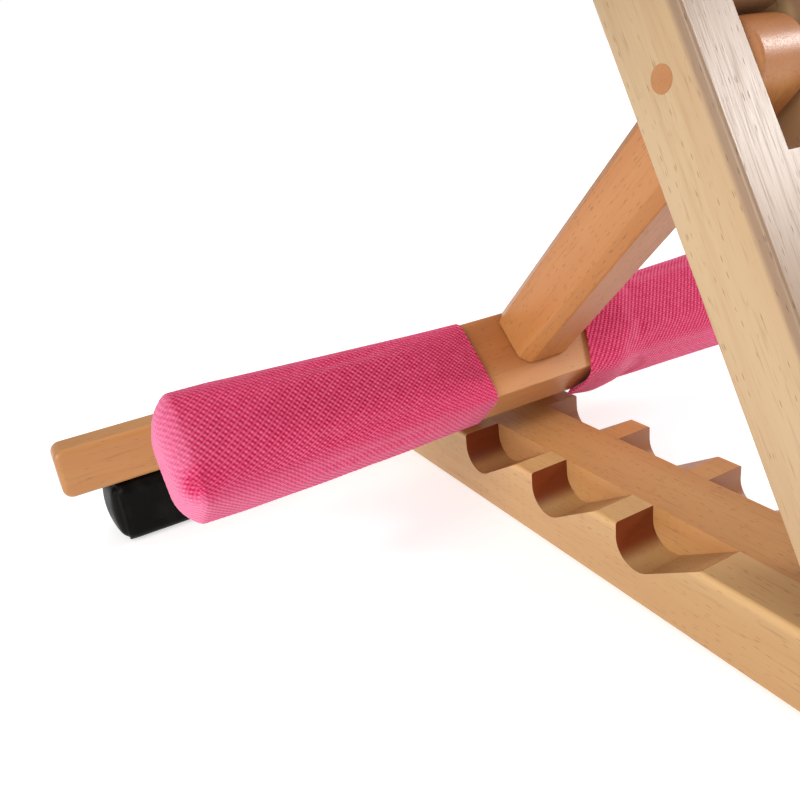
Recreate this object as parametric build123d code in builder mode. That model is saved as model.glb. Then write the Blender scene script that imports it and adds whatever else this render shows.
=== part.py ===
from build123d import *
from math import cos, radians, sin, tan
import os

# A tapestry loom on a tilting ratchet stand.
# +X is the weaver's right, +Y points away from the weaver, +Z is up, and Z = 0 is the surface it
# stands on. All sizes are in millimetres.

# Base beam: a plain core with a notched rail glued to each side.
pitch = 50.0                 # spacing of the notches
beam_height = 30.0
floor_gap = 2.0              # the feet lift the beam this far
core_width = 30.0
rail_width = 19.0
half_beam = core_width / 2 + rail_width
beam_top = floor_gap + beam_height
rack_y = 78.7                # steep wall of the second notch
notch_wall = 6.0             # straight part of the steep wall
notch_radius = 10.0
ramp_angle = 31.0
notch_count = 4
beam_far_y = rack_y + 96
rail_near_y = rack_y - 180
core_near_y = rack_y - 244
eased = 1.2                  # radius on the long edges of the timber
cutter_over = 4.0            # how far a notch cutter stands above the beam

# Cross feet.
bar_length = 414.0
rear_bar_depth = 16.0
rear_bar_height = 24.0
rear_bar_y = rack_y + 65.4
bar_corner = 4.5
bar_edge = 3.0
front_bar_depth = 18.0
front_bar_height = 29.0
front_foot_height = 3.0
front_foot_radius = 8.0
front_foot_inset = 22.0
foot_length = 94.0
foot_depth = 34.0
foot_inner_x = 95.0
foot_wall = 5.0
foot_gap = 0.4               # block to pad below and pad to bar above
foot_corner = 5.0
foot_sole_edge = 4.0
block_slack = 0.3            # block to pad on each side

# Wood screws that hold the cross bars on the core.
screw_hole = 2.5
screw_head_hole = 4.5
screw_sink = 4.0
screw_head = 4.2
screw_shank = 2.2
screw_head_height = 3.0
rear_screw_length = 36.0
front_screw_length = 30.0
screw_hole_depth = 20.0

# Mast, leaning back from its hinge at the near end of the beam.
lean = 62.0
mast_width = 2 * half_beam
mast_thickness = 28.0
mast_length = 640.0
hinge_y = rack_y - 208.2
hinge_z = beam_top - 15
bolt_radius = 4.0
bolt_head = 8.5
bolt_head_height = 5.0
bolt_head_round = 3.0
bolt_overhang = 8.0          # thread past the nut's washer
nut_radius = 7.5
nut_height = 6.5
washer_radius = 8.0
washer_thickness = 1.6
washer_gap = 0.1
running = 0.05               # radial clearance of every turning pin
clamp_slot = 8.6
fork_gap = 30.6
fork_depth = 34.0

# Prop: a square post with a crossbar and two rounded heels below it.
prop_angle = 45.0
prop_side = 28.0
prop_chamfer = 4.5
crossbar_width = 38.0
crossbar_height = 26.0
crossbar_near = 23.8         # prop axis to the crossbar's near edge
crossbar_length = 316.0
heel_radius = 9.7
heel_length = 45.6           # crossbar to the centre of the heel's round end
heel_inner_x = 15.8
heel_outer_x = 33.4
prop_end_round = 1.5
crossbar_corner = 0.8
pin_plug = 4.0
mortise_half = 14.3
mortise_down = 31.0
mortise_up = 15.5

# Padded grips on the crossbar's arms.
grip_mouth_x = 35.0
grip_end_x = 171.0
grip_swell = 4.6             # how far the closed end stands out from the crossbar
grip_snug = 1.4              # the same at the mouth
sleeve_wall = 1.0
sleeve_corner = 1.0
foam_gap = 0.3
foam_start_x = 62.0

# Loom frame, clamped to the front of the mast. s runs up the mast and n out of its front.
frame_gap = 0.3
rail_s0 = 240.0
rail_length = 380.0
side_rail_width = 22.0
side_rail_depth = 36.0
side_rail_x = 200.0          # outer face
side_rail_corner = 6.0
stretcher_height = 30.0
stretcher_depth = 18.0
lower_stretcher_s = 310.0
upper_stretcher_s = 550.0
frame_travel = 50.0
clamp_knob_radius = 17.0
clamp_knob_lobes = 6
clamp_knob_height = 14.0
clamp_knob_bite = 20.5       # centres of the scallops
clamp_knob_gap = 0.4
clamp_thread = 16.0          # bolt past the back of the mast
clamp_head_height = 3.0
frame_back_n = mast_thickness / 2 + frame_gap
frame_front_n = frame_back_n + side_rail_depth
roller_radius = 16.0
roller_n = frame_back_n + side_rail_depth / 2
cloth_roller_s = 262.0
warp_roller_s = 598.0
tenon_radius = 7.0
tenon_reach = 8.0            # tenon past the side rail
roller_end_gap = 0.5
wheel_gap = 0.8
wheel_end_x = 214.8
teeth = 16
tooth_tip = 22.0
tooth_root = 18.5
wheel_thickness = 7.7
hub_radius = 11.0
knob_radius = 23.0
knob_lobes = 8
knob_bite = 25.5
scallop = 6.0                # radius of the scallops in all hand knobs
pawl_reach = 36.0
pawl_thickness = 5.0
pawl_gap = 1.0               # wheel's plane to the pawl's
pawl_boss = 6.5
pawl_pin = 2.5
pawl_head = 4.5
pawl_head_height = 2.2
pawl_head_gap = 1.6
pawl_open = 28.0             # degrees it is swung clear of the teeth
pawl_tail_reach = 11.0
pawl_tail_radius = 4.5

# Warp, cloth and beater.
warp_n = roller_n + roller_radius + 1.3
warp_ends = 46
warp_spacing = 7.0
warp_radius = 0.6
fell_s = 372.0
cloth_width = 322.0
cloth_thickness = 1.4
beater_s = 470.0
beater_depth = 10.0
beater_cap_width = 14.0
beater_top_n = 82.0
beater_cap_depth = 12.0
beater_gap = 0.3
sill_depth = 6.0
sill_n = 35.5
reed_low_n = 41.5
slat_thickness = 2.4
slat_inset = 4.0
leg_width = 18.0
leg_inset = 2.0
sill_end_gap = 2.0

os.makedirs("parts", exist_ok=True)

up_y = cos(radians(lean))
up_z = sin(radians(lean))
# The heels' round ends sit in the farthest notches, concentric with their round bottoms. The
# prop's line runs from there, up and towards the weaver, to its pivot in the mast's middle plane.
heel_y = rack_y + pitch - notch_radius
heel_z = beam_top - notch_wall
heel_off_mast = (heel_y - hinge_y) * up_z - (heel_z - hinge_z) * up_y
heel_reach = heel_off_mast / sin(radians(lean + prop_angle))
pivot_y = heel_y - heel_reach * cos(radians(prop_angle))
pivot_z = heel_z + heel_reach * sin(radians(prop_angle))
post_length = heel_reach - heel_length - crossbar_height
# Side view of the mast: sketch x is s, sketch y is n, and the sketch faces +X.
mast_side = Plane(origin=(0, hinge_y, hinge_z), x_dir=(0, up_y, up_z), z_dir=(1, 0, 0))
# Front view of the mast: sketch x is X, sketch y is s, and the sketch faces out along n.
mast_front = Plane(origin=(0, hinge_y, hinge_z), x_dir=(1, 0, 0), z_dir=(0, -up_z, up_y))
# Side view of the prop: sketch x runs down the post from its pivot, sketch y is up and away.
prop_side_plane = Plane(
    origin=(0, pivot_y, pivot_z),
    x_dir=(0, cos(radians(prop_angle)), -sin(radians(prop_angle))),
    z_dir=(1, 0, 0),
)
# How far up the mast its pivot for the prop lies.
pivot_s = (pivot_y - hinge_y) * up_y + (pivot_z - hinge_z) * up_z


def mast_point(s, n, x=0.0):
    """Row-frame point at s up the mast and n out of its middle plane."""
    return (x, hinge_y + s * up_y - n * up_z, hinge_z + s * up_z + n * up_y)


def save(piece, label):
    piece.label = label
    export_step(piece, f"parts/{label}.step")


def notch_outline(wall_y):
    """One notch, from its steep far wall down and back up the ramp to the beam's top."""
    centre_y = wall_y - notch_radius
    centre_z = beam_top - notch_wall
    leave_y = centre_y - notch_radius * sin(radians(ramp_angle))
    leave_z = centre_z - notch_radius * cos(radians(ramp_angle))
    ramp_run = (beam_top - leave_z) / tan(radians(ramp_angle))
    Polyline(
        (leave_y, leave_z),
        (leave_y - ramp_run, beam_top),
        (leave_y - ramp_run, beam_top + cutter_over),
        (wall_y, beam_top + cutter_over),
        (wall_y, centre_z),
    )
    low = (centre_y, centre_z - notch_radius)
    ThreePointArc((wall_y, centre_z), low, (leave_y, leave_z))


# ---------------------------------------------------------------- base

with BuildPart() as base_core:
    with BuildSketch(Plane.YZ.offset(-core_width / 2)):
        with Locations(((core_near_y + beam_far_y) / 2, floor_gap + beam_height / 2)):
            Rectangle(beam_far_y - core_near_y, beam_height)
    extrude(amount=core_width)
    with Locations(Plane.YZ.offset(-core_width / 2) * Location((hinge_y, hinge_z))):
        Hole(bolt_radius + running, depth=2 * core_width)
    with Locations((0, rear_bar_y + rear_bar_depth / 2, beam_top)):
        with GridLocations(core_width / 2, 1, 2, 1):
            Hole(screw_hole, depth=screw_hole_depth)
    with Locations(Plane((0, core_near_y, floor_gap + beam_height / 2), z_dir=(0, -1, 0))):
        with GridLocations(core_width / 2, 1, 2, 1):
            Hole(screw_hole, depth=screw_hole_depth)
save(base_core.part, "base_core")


def make_rack(x0):
    with BuildPart() as rack:
        with BuildSketch(Plane.YZ.offset(x0)):
            with Locations(((rail_near_y + beam_far_y) / 2, floor_gap + beam_height / 2)):
                Rectangle(beam_far_y - rail_near_y, beam_height)
        extrude(amount=rail_width)
        outer = rack.edges().filter_by(Axis.Y).group_by(Axis.X)[0 if x0 < 0 else -1]
        fillet(outer, eased)
        for number in range(notch_count):
            with BuildSketch(Plane.YZ.offset(x0)):
                with BuildLine():
                    notch_outline(rack_y + pitch * (1 - number))
                make_face()
            extrude(amount=rail_width, mode=Mode.SUBTRACT)
    return rack.part


save(make_rack(-half_beam), "rack_left")
save(make_rack(core_width / 2), "rack_right")

with BuildPart() as rear_bar:
    with BuildSketch(Plane.XZ.offset(-rear_bar_y)):
        with Locations((0, beam_top + rear_bar_height / 2)):
            RectangleRounded(bar_length, rear_bar_height, bar_corner)
    extrude(amount=-rear_bar_depth)
    fillet(rear_bar.faces().sort_by(Axis.Y)[0].edges(), bar_edge)
    fillet(rear_bar.faces().sort_by(Axis.Y)[-1].edges(), bar_edge)
    screw_top = beam_top + rear_bar_height
    with Locations((0, rear_bar_y + rear_bar_depth / 2, screw_top)):
        with GridLocations(core_width / 2, 1, 2, 1):
            CounterBoreHole(screw_hole, screw_head_hole, screw_sink)
save(rear_bar.part, "rear_bar")

standing = (Align.CENTER, Align.CENTER, Align.MIN)
hanging = (Align.CENTER, Align.CENTER, Align.MAX)
with BuildPart() as rear_bar_screws:
    with Locations((0, rear_bar_y + rear_bar_depth / 2, screw_top - screw_sink)):
        with GridLocations(core_width / 2, 1, 2, 1):
            Cylinder(screw_head, screw_head_height, align=standing)
            Cylinder(screw_shank, rear_screw_length, align=hanging)
save(rear_bar_screws.part, "rear_bar_screws")

with BuildPart() as front_bar:
    with BuildSketch(Plane.XZ.offset(-core_near_y)):
        with Locations((0, front_foot_height + front_bar_height / 2)):
            RectangleRounded(bar_length, front_bar_height, bar_corner)
    extrude(amount=front_bar_depth)
    fillet(front_bar.faces().sort_by(Axis.Y)[0].edges(), bar_edge)
    front_face_y = core_near_y - front_bar_depth
    front_screws = Plane((0, front_face_y, floor_gap + beam_height / 2), z_dir=(0, -1, 0))
    with Locations(front_screws):
        with GridLocations(core_width / 2, 1, 2, 1):
            CounterBoreHole(screw_hole, screw_head_hole, screw_sink)
save(front_bar.part, "front_bar")

with BuildPart() as front_bar_screws:
    with Locations(front_screws.offset(-screw_sink)):
        with GridLocations(core_width / 2, 1, 2, 1):
            Cylinder(screw_head, screw_head_height, align=standing)
            Cylinder(screw_shank, front_screw_length, align=hanging)
save(front_bar_screws.part, "front_bar_screws")

with BuildPart() as front_feet:
    with Locations((0, core_near_y - front_bar_depth / 2, 0)):
        with GridLocations(bar_length - 2 * front_foot_inset, 1, 2, 1):
            Cylinder(front_foot_radius, front_foot_height, align=standing)
save(front_feet.part, "front_feet")


def make_foot(side):
    """A wooden block under the rear bar and the padded cover that it stands in."""
    centre_x = side * (foot_inner_x + foot_length / 2)
    centre_y = rear_bar_y + foot_depth / 2
    pocket_length = foot_length - 2 * foot_wall
    pocket_depth = foot_depth - 2 * foot_wall
    with BuildPart() as block:
        with Locations((centre_x, centre_y, foot_wall + foot_gap)):
            Box(
                pocket_length - 2 * block_slack,
                pocket_depth - 2 * block_slack,
                beam_top - foot_wall - foot_gap,
                align=standing,
            )
    with BuildPart() as pad:
        with Locations((centre_x, centre_y, 0)):
            Box(foot_length, foot_depth, beam_top - foot_gap, align=standing)
        fillet(pad.edges().filter_by(Axis.Z), foot_corner)
        fillet(pad.edges().group_by(Axis.Z)[0], foot_sole_edge)
        with Locations((centre_x, centre_y, foot_wall)):
            Box(pocket_length, pocket_depth, beam_top, align=standing, mode=Mode.SUBTRACT)
    return block.part, pad.part


for side, name in ((-1, "left"), (1, "right")):
    foot_block, foot_pad = make_foot(side)
    save(foot_block, f"rear_foot_block_{name}")
    save(foot_pad, f"rear_foot_pad_{name}")

washer_stack = washer_thickness + 2 * washer_gap
with BuildPart() as mast_bolt:
    with BuildSketch(Plane.YZ.offset(-half_beam - washer_stack)):
        with Locations((hinge_y, hinge_z)):
            Circle(bolt_radius)
    extrude(amount=2 * (half_beam + washer_stack) + bolt_overhang)
    with BuildSketch(Plane.YZ.offset(-half_beam - washer_stack)):
        with Locations((hinge_y, hinge_z)):
            Circle(bolt_head)
    extrude(amount=-bolt_head_height)
    fillet(mast_bolt.edges().group_by(Axis.X)[0], bolt_head_round)
save(mast_bolt.part, "mast_bolt")

with BuildPart() as mast_washers:
    for x0 in (-half_beam - washer_thickness - washer_gap, half_beam + washer_gap):
        with BuildSketch(Plane.YZ.offset(x0)):
            with Locations((hinge_y, hinge_z)):
                Circle(washer_radius)
                Circle(bolt_radius + running, mode=Mode.SUBTRACT)
        extrude(amount=washer_thickness)
save(mast_washers.part, "mast_washers")

with BuildPart() as mast_nut:
    with BuildSketch(Plane.YZ.offset(half_beam + washer_stack)):
        with Locations((hinge_y, hinge_z)):
            RegularPolygon(nut_radius, 6)
            Circle(bolt_radius, mode=Mode.SUBTRACT)
    extrude(amount=nut_height)
save(mast_nut.part, "mast_nut")

# ---------------------------------------------------------------- mast

with BuildPart() as mast:
    with BuildSketch(mast_side.offset(-half_beam)):
        with BuildLine():
            half = mast_thickness / 2
            Line((0, -half), (mast_length, -half))
            Line((mast_length, -half), (mast_length, half))
            Line((mast_length, half), (0, half))
            ThreePointArc((0, half), (-half, 0), (0, -half))
        make_face()
    extrude(amount=mast_width)
    fillet(mast.edges().filter_by(Axis((0, 0, 0), (0, up_y, up_z))), eased)
    with BuildSketch(mast_front.offset(-mast_thickness)):
        with Locations((0, fork_depth / 2 - mast_thickness)):
            Rectangle(fork_gap, fork_depth + 2 * mast_thickness)
        with Locations((0, pivot_s + (mortise_up - mortise_down) / 2)):
            Rectangle(2 * mortise_half, mortise_up + mortise_down)
        for slot_s in (lower_stretcher_s, upper_stretcher_s):
            with Locations((0, slot_s + frame_travel / 2)):
                SlotCenterToCenter(frame_travel + 2, clamp_slot, rotation=90)
    extrude(amount=2 * mast_thickness, mode=Mode.SUBTRACT)
    with BuildSketch(mast_side.offset(-half_beam)):
        Circle(bolt_radius + running)
        with Locations((pivot_s, 0)):
            Circle(bolt_radius)
    extrude(amount=mast_width, mode=Mode.SUBTRACT)
save(mast.part, "mast")

with BuildPart() as prop_pin:
    with BuildSketch(mast_side.offset(-half_beam + pin_plug)):
        with Locations((pivot_s, 0)):
            Circle(bolt_radius)
    extrude(amount=mast_width - 2 * pin_plug)
save(prop_pin.part, "prop_pin")

with BuildPart() as pin_plugs:
    for x0 in (-half_beam, half_beam - pin_plug):
        with BuildSketch(mast_side.offset(x0)):
            with Locations((pivot_s, 0)):
                Circle(bolt_radius)
        extrude(amount=pin_plug)
save(pin_plugs.part, "pin_plugs")

# ---------------------------------------------------------------- prop

with BuildPart() as prop_post:
    with BuildSketch(prop_side_plane.offset(-prop_side / 2)):
        with BuildLine():
            half = prop_side / 2
            Line((0, half), (post_length, half))
            Line((post_length, half), (post_length, -half))
            Line((post_length, -half), (0, -half))
            ThreePointArc((0, -half), (-half, 0), (0, half))
        make_face()
    extrude(amount=prop_side)
    post_dir = Vector(0, cos(radians(prop_angle)), -sin(radians(prop_angle)))
    chamfer(prop_post.edges().filter_by(Axis((0, 0, 0), post_dir)), prop_chamfer)
    with BuildSketch(prop_side_plane.offset(-prop_side)):
        Circle(bolt_radius + running)
    extrude(amount=2 * prop_side, mode=Mode.SUBTRACT)
    fillet(prop_post.faces().sort_by(Axis((0, 0, 0), post_dir))[-1].edges(), prop_end_round)
save(prop_post.part, "prop_post")

crossbar_mid_u = crossbar_width / 2 - crossbar_near
with BuildPart() as crossbar:
    with BuildSketch(prop_side_plane.offset(-crossbar_length / 2)):
        with Locations((post_length + crossbar_height / 2, crossbar_mid_u)):
            RectangleRounded(crossbar_height, crossbar_width, crossbar_corner)
    extrude(amount=crossbar_length)
save(crossbar.part, "crossbar")


def make_heel(x0):
    with BuildPart() as heel:
        with BuildSketch(prop_side_plane.offset(x0)):
            with BuildLine():
                top = post_length + crossbar_height
                Line((top, heel_radius), (heel_reach, heel_radius))
                tip = (heel_reach + heel_radius, 0)
                ThreePointArc((heel_reach, heel_radius), tip, (heel_reach, -heel_radius))
                Line((heel_reach, -heel_radius), (top, -heel_radius))
                Line((top, -heel_radius), (top, heel_radius))
            make_face()
        extrude(amount=heel_outer_x - heel_inner_x)
    return heel.part


save(make_heel(-heel_outer_x), "prop_heel_left")
save(make_heel(heel_inner_x), "prop_heel_right")


def sleeve_grow(x):
    """How far the fabric stands out from the crossbar at x."""
    share = (x - grip_mouth_x) / (grip_end_x - grip_mouth_x)
    return grip_snug + (grip_swell - grip_snug) * share


def grip_section(side, x, stand_out):
    """Rounded outline round one arm at x, standing out from the crossbar."""
    with BuildSketch(prop_side_plane.offset(side * x)) as section:
        with Locations((post_length + crossbar_height / 2, crossbar_mid_u)):
            width = crossbar_width + 2 * stand_out
            height = crossbar_height + 2 * stand_out
            RectangleRounded(height, width, sleeve_corner + stand_out)
    return section.sketch


def make_sleeve(side):
    inner_x = grip_end_x - sleeve_wall
    outside = [grip_section(side, x, sleeve_grow(x)) for x in (grip_mouth_x, grip_end_x)]
    inside = [grip_section(side, x, sleeve_grow(x) - sleeve_wall) for x in (grip_mouth_x, inner_x)]
    with BuildPart() as sleeve:
        loft(outside)
        loft(inside, mode=Mode.SUBTRACT)
    return sleeve.part


def make_foam(side):
    under_fabric = sleeve_wall + foam_gap
    ends = (foam_start_x, grip_end_x - under_fabric)
    pocket_ends = (foam_start_x, crossbar_length / 2 + 1)
    outside = [grip_section(side, x, sleeve_grow(x) - under_fabric) for x in ends]
    pocket = [grip_section(side, x, foam_gap) for x in pocket_ends]
    with BuildPart() as foam:
        loft(outside)
        loft(pocket, mode=Mode.SUBTRACT)
    return foam.part


for side, name in ((-1, "left"), (1, "right")):
    save(make_sleeve(side), f"grip_sleeve_{name}")
    save(make_foam(side), f"grip_foam_{name}")

# ---------------------------------------------------------------- loom frame


def make_side_rail(x0):
    with BuildPart() as rail:
        with BuildSketch(mast_side.offset(x0)):
            with Locations((rail_s0 + rail_length / 2, (frame_back_n + frame_front_n) / 2)):
                RectangleRounded(rail_length, side_rail_depth, side_rail_corner)
        extrude(amount=side_rail_width)
        with BuildSketch(mast_side.offset(x0)):
            with Locations((cloth_roller_s, roller_n), (warp_roller_s, roller_n)):
                Circle(tenon_radius + running)
        extrude(amount=side_rail_width, mode=Mode.SUBTRACT)
    return rail.part


rail_inner_x = side_rail_x - side_rail_width
save(make_side_rail(-side_rail_x), "side_rail_left")
save(make_side_rail(rail_inner_x), "side_rail_right")


def make_stretcher(s):
    with BuildPart() as stretcher:
        with BuildSketch(mast_front.offset(frame_back_n)):
            with Locations((0, s)):
                Rectangle(2 * rail_inner_x, stretcher_height)
                Circle(bolt_radius, mode=Mode.SUBTRACT)
        extrude(amount=stretcher_depth)
    return stretcher.part


save(make_stretcher(lower_stretcher_s), "stretcher_lower")
save(make_stretcher(upper_stretcher_s), "stretcher_upper")

clamp_reach = mast_thickness / 2 + clamp_thread
with BuildPart() as clamp_bolts:
    for s in (lower_stretcher_s, upper_stretcher_s):
        with BuildSketch(mast_front.offset(-clamp_reach)):
            with Locations((0, s)):
                Circle(bolt_radius)
        extrude(amount=clamp_reach + frame_back_n + stretcher_depth)
        with BuildSketch(mast_front.offset(frame_back_n + stretcher_depth)):
            with Locations((0, s)):
                Circle(bolt_head)
        extrude(amount=clamp_head_height)
save(clamp_bolts.part, "clamp_bolts")


def make_clamp_knob(s):
    """Lobed wooden hand knob behind the mast, on the end of a clamp bolt."""
    with BuildPart() as knob:
        with BuildSketch(mast_front.offset(-mast_thickness / 2 - clamp_knob_gap)):
            with Locations((0, s)):
                Circle(clamp_knob_radius)
                with PolarLocations(clamp_knob_bite, clamp_knob_lobes):
                    Circle(scallop, mode=Mode.SUBTRACT)
        extrude(amount=-clamp_knob_height)
        with BuildSketch(mast_front.offset(-mast_thickness)):
            with Locations((0, s)):
                Circle(bolt_radius + running)
        extrude(amount=2 * mast_thickness, both=True, mode=Mode.SUBTRACT)
    return knob.part


save(make_clamp_knob(lower_stretcher_s), "clamp_knob_lower")
save(make_clamp_knob(upper_stretcher_s), "clamp_knob_upper")


def make_roller(s):
    with BuildPart() as roller:
        with BuildSketch(mast_side.offset(-rail_inner_x + roller_end_gap)):
            with Locations((s, roller_n)):
                Circle(roller_radius)
        extrude(amount=2 * (rail_inner_x - roller_end_gap))
        with BuildSketch(mast_side.offset(-side_rail_x - tenon_reach)):
            with Locations((s, roller_n)):
                Circle(tenon_radius)
        extrude(amount=2 * (side_rail_x + tenon_reach))
    return roller.part


def make_ratchet(s, toward):
    """Saw-toothed wheel with a hub, pressed on the roller's left tenon."""
    first = 0.0 if toward > 0 else 180.0
    with BuildPart() as wheel:
        with BuildSketch(mast_side.offset(-side_rail_x - wheel_gap)):
            with BuildLine():
                corners = []
                for number in range(teeth):
                    angle = radians(first + toward * number * 360 / teeth)
                    corners.append((s + tooth_tip * cos(angle), roller_n + tooth_tip * sin(angle)))
                    corners.append((s + tooth_root * cos(angle), roller_n + tooth_root * sin(angle)))
                Polyline(*corners, close=True)
            make_face()
        extrude(amount=-wheel_thickness)
        with BuildSketch(mast_side.offset(-side_rail_x - wheel_gap)):
            with Locations((s, roller_n)):
                Circle(hub_radius)
        extrude(amount=-(wheel_end_x - side_rail_x - wheel_gap))
        with BuildSketch(mast_side.offset(-side_rail_x - wheel_gap)):
            with Locations((s, roller_n)):
                Circle(tenon_radius)
        extrude(amount=-(tenon_reach - wheel_gap), mode=Mode.SUBTRACT)
    return wheel.part


def make_hand_knob(s):
    """Lobed hand knob pressed on the roller's right tenon."""
    with BuildPart() as knob:
        with BuildSketch(mast_side.offset(side_rail_x + wheel_gap)):
            with Locations((s, roller_n)):
                Circle(knob_radius)
                with PolarLocations(knob_bite, knob_lobes):
                    Circle(scallop, mode=Mode.SUBTRACT)
        extrude(amount=wheel_end_x - side_rail_x - wheel_gap)
        with BuildSketch(mast_side.offset(side_rail_x + wheel_gap)):
            with Locations((s, roller_n)):
                Circle(tenon_radius)
        extrude(amount=tenon_reach - wheel_gap, mode=Mode.SUBTRACT)
    return knob.part


def make_pawl(s, toward):
    """Flat pawl, swung clear of its wheel; toward is +1 when its pivot is up the rail.

    The outline is drawn with the tip down behind a tooth, in (along, out) steps from the wheel's
    centre, and then turned about the pivot.
    """
    outline = (
        (tooth_root + 0.9, 0.5),
        (tooth_tip + 3.0, 0.5),
        (pawl_reach, -3.5),
        (pawl_reach, 6.0),
        (tooth_tip + 4.0, 6.0),
        (tooth_root + 1.9, 2.6),
    )
    pivot = s + toward * pawl_reach
    with BuildPart() as pawl:
        with BuildSketch(mast_side.offset(-side_rail_x - wheel_gap - pawl_gap)):
            with BuildLine():
                Polyline(*[(s + toward * along, roller_n + out) for along, out in outline], close=True)
            make_face()
            with Locations((pivot, roller_n)):
                Circle(pawl_boss)
            with Locations((pivot + toward * pawl_tail_reach, roller_n + 3.0)):
                Circle(pawl_tail_radius)
            with Locations((pivot + toward * pawl_tail_reach / 2, roller_n + 1.5)):
                Rectangle(pawl_tail_reach, pawl_tail_radius)
            with Locations((pivot, roller_n)):
                Circle(pawl_pin + running, mode=Mode.SUBTRACT)
        extrude(amount=-pawl_thickness)
    return pawl.part.rotate(Axis(mast_point(pivot, roller_n), (1, 0, 0)), -toward * pawl_open)


rollers = (("cloth", cloth_roller_s, 1), ("warp", warp_roller_s, -1))
for name, s, toward in rollers:
    save(make_roller(s), f"{name}_roller")
    save(make_ratchet(s, toward), f"{name}_ratchet")
    save(make_hand_knob(s), f"{name}_knob")
    save(make_pawl(s, toward), f"{name}_pawl")

with BuildPart() as pawl_screws:
    for name, s, toward in rollers:
        pivot = s + toward * pawl_reach
        shank_end = side_rail_x + wheel_gap + pawl_thickness + pawl_head_gap
        with BuildSketch(mast_side.offset(-side_rail_x)):
            with Locations((pivot, roller_n)):
                Circle(pawl_pin)
        extrude(amount=side_rail_x - shank_end)
        with BuildSketch(mast_side.offset(-shank_end)):
            with Locations((pivot, roller_n)):
                Circle(pawl_head)
        extrude(amount=-pawl_head_height)
save(pawl_screws.part, "pawl_screws")

# ---------------------------------------------------------------- warp, cloth, beater

with BuildPart() as warp_threads:
    with BuildSketch(Plane(mast_point(fell_s, warp_n), x_dir=(1, 0, 0), z_dir=(0, up_y, up_z))):
        with GridLocations(warp_spacing, 1, warp_ends, 1):
            Circle(warp_radius)
    extrude(amount=warp_roller_s - fell_s)
save(warp_threads.part, "warp_threads")

with BuildPart() as woven_cloth:
    with BuildSketch(mast_front.offset(warp_n - cloth_thickness / 2)):
        with Locations((0, (cloth_roller_s + fell_s) / 2)):
            Rectangle(cloth_width, fell_s - cloth_roller_s)
    extrude(amount=cloth_thickness)
save(woven_cloth.part, "woven_cloth")

leg_low_n = frame_front_n + beater_gap
cap_low_n = beater_top_n - beater_cap_depth
with BuildPart() as beater_cap:
    with BuildSketch(mast_front.offset(cap_low_n)):
        with Locations((0, beater_s)):
            RectangleRounded(2 * side_rail_x, beater_cap_width, 4.0)
    extrude(amount=beater_cap_depth)
    fillet(beater_cap.faces().sort_by(Axis((0, 0, 0), mast_front.z_dir))[-1].edges(), bar_edge)
save(beater_cap.part, "beater_cap")


def make_beater_leg(centre_x):
    with BuildPart() as leg:
        with BuildSketch(mast_front.offset(leg_low_n)):
            with Locations((centre_x, beater_s)):
                RectangleRounded(leg_width, beater_depth, 2.0)
        extrude(amount=cap_low_n - leg_low_n)
    return leg.part


leg_x = side_rail_x - leg_width / 2 - leg_inset
save(make_beater_leg(-leg_x), "beater_leg_left")
save(make_beater_leg(leg_x), "beater_leg_right")

with BuildPart() as beater_sill:
    with BuildSketch(mast_front.offset(sill_n)):
        with Locations((0, beater_s)):
            RectangleRounded(2 * (rail_inner_x - sill_end_gap), beater_depth, 3.0)
    extrude(amount=sill_depth)
save(beater_sill.part, "beater_sill")

with BuildPart() as reed_slats:
    with BuildSketch(mast_front.offset(reed_low_n)):
        with Locations((0, beater_s)):
            with GridLocations(warp_spacing, 1, warp_ends + 1, 1):
                Rectangle(slat_thickness, beater_depth - slat_inset)
    extrude(amount=cap_low_n - reed_low_n)
save(reed_slats.part, "reed_slats")
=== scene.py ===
import math

import bmesh
import bpy
import numpy as np
from mathutils import Matrix, Vector


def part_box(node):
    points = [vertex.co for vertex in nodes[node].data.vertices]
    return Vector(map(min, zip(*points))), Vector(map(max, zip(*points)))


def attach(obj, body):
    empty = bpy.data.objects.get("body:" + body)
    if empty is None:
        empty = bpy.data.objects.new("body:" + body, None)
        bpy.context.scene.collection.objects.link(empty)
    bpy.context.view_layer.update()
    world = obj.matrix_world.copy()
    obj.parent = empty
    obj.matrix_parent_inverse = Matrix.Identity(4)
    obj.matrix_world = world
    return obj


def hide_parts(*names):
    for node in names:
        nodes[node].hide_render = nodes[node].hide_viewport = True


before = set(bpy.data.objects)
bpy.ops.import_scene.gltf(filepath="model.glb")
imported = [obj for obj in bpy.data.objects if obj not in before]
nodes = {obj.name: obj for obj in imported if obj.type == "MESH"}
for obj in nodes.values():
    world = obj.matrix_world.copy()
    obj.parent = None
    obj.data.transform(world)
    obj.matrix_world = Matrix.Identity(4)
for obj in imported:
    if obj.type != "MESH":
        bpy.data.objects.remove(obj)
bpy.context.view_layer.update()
scene = bpy.context.scene
scene.view_settings.view_transform = "Standard"

LEAN = math.radians(62)
UP = Vector((0, math.cos(LEAN), math.sin(LEAN)))        # up the mast
OUT = Vector((0, -math.sin(LEAN), math.cos(LEAN)))      # out of its front
DOWN = Vector((0, math.sqrt(0.5), -math.sqrt(0.5)))     # down the prop
AWAY = Vector((0, math.sqrt(0.5), math.sqrt(0.5)))      # across the prop, up and away
ALONG_X = Vector((1, 0, 0))
ALONG_Y = Vector((0, 1, 0))
ALONG_Z = Vector((0, 0, 1))

bar_low, bar_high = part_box("crossbar")
BAR_MID = (bar_low + bar_high) / 2
BAR_T, BAR_U = 0.013, 0.019                             # half sizes along DOWN and AWAY


# ------------------------------------------------------------------ materials

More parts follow.
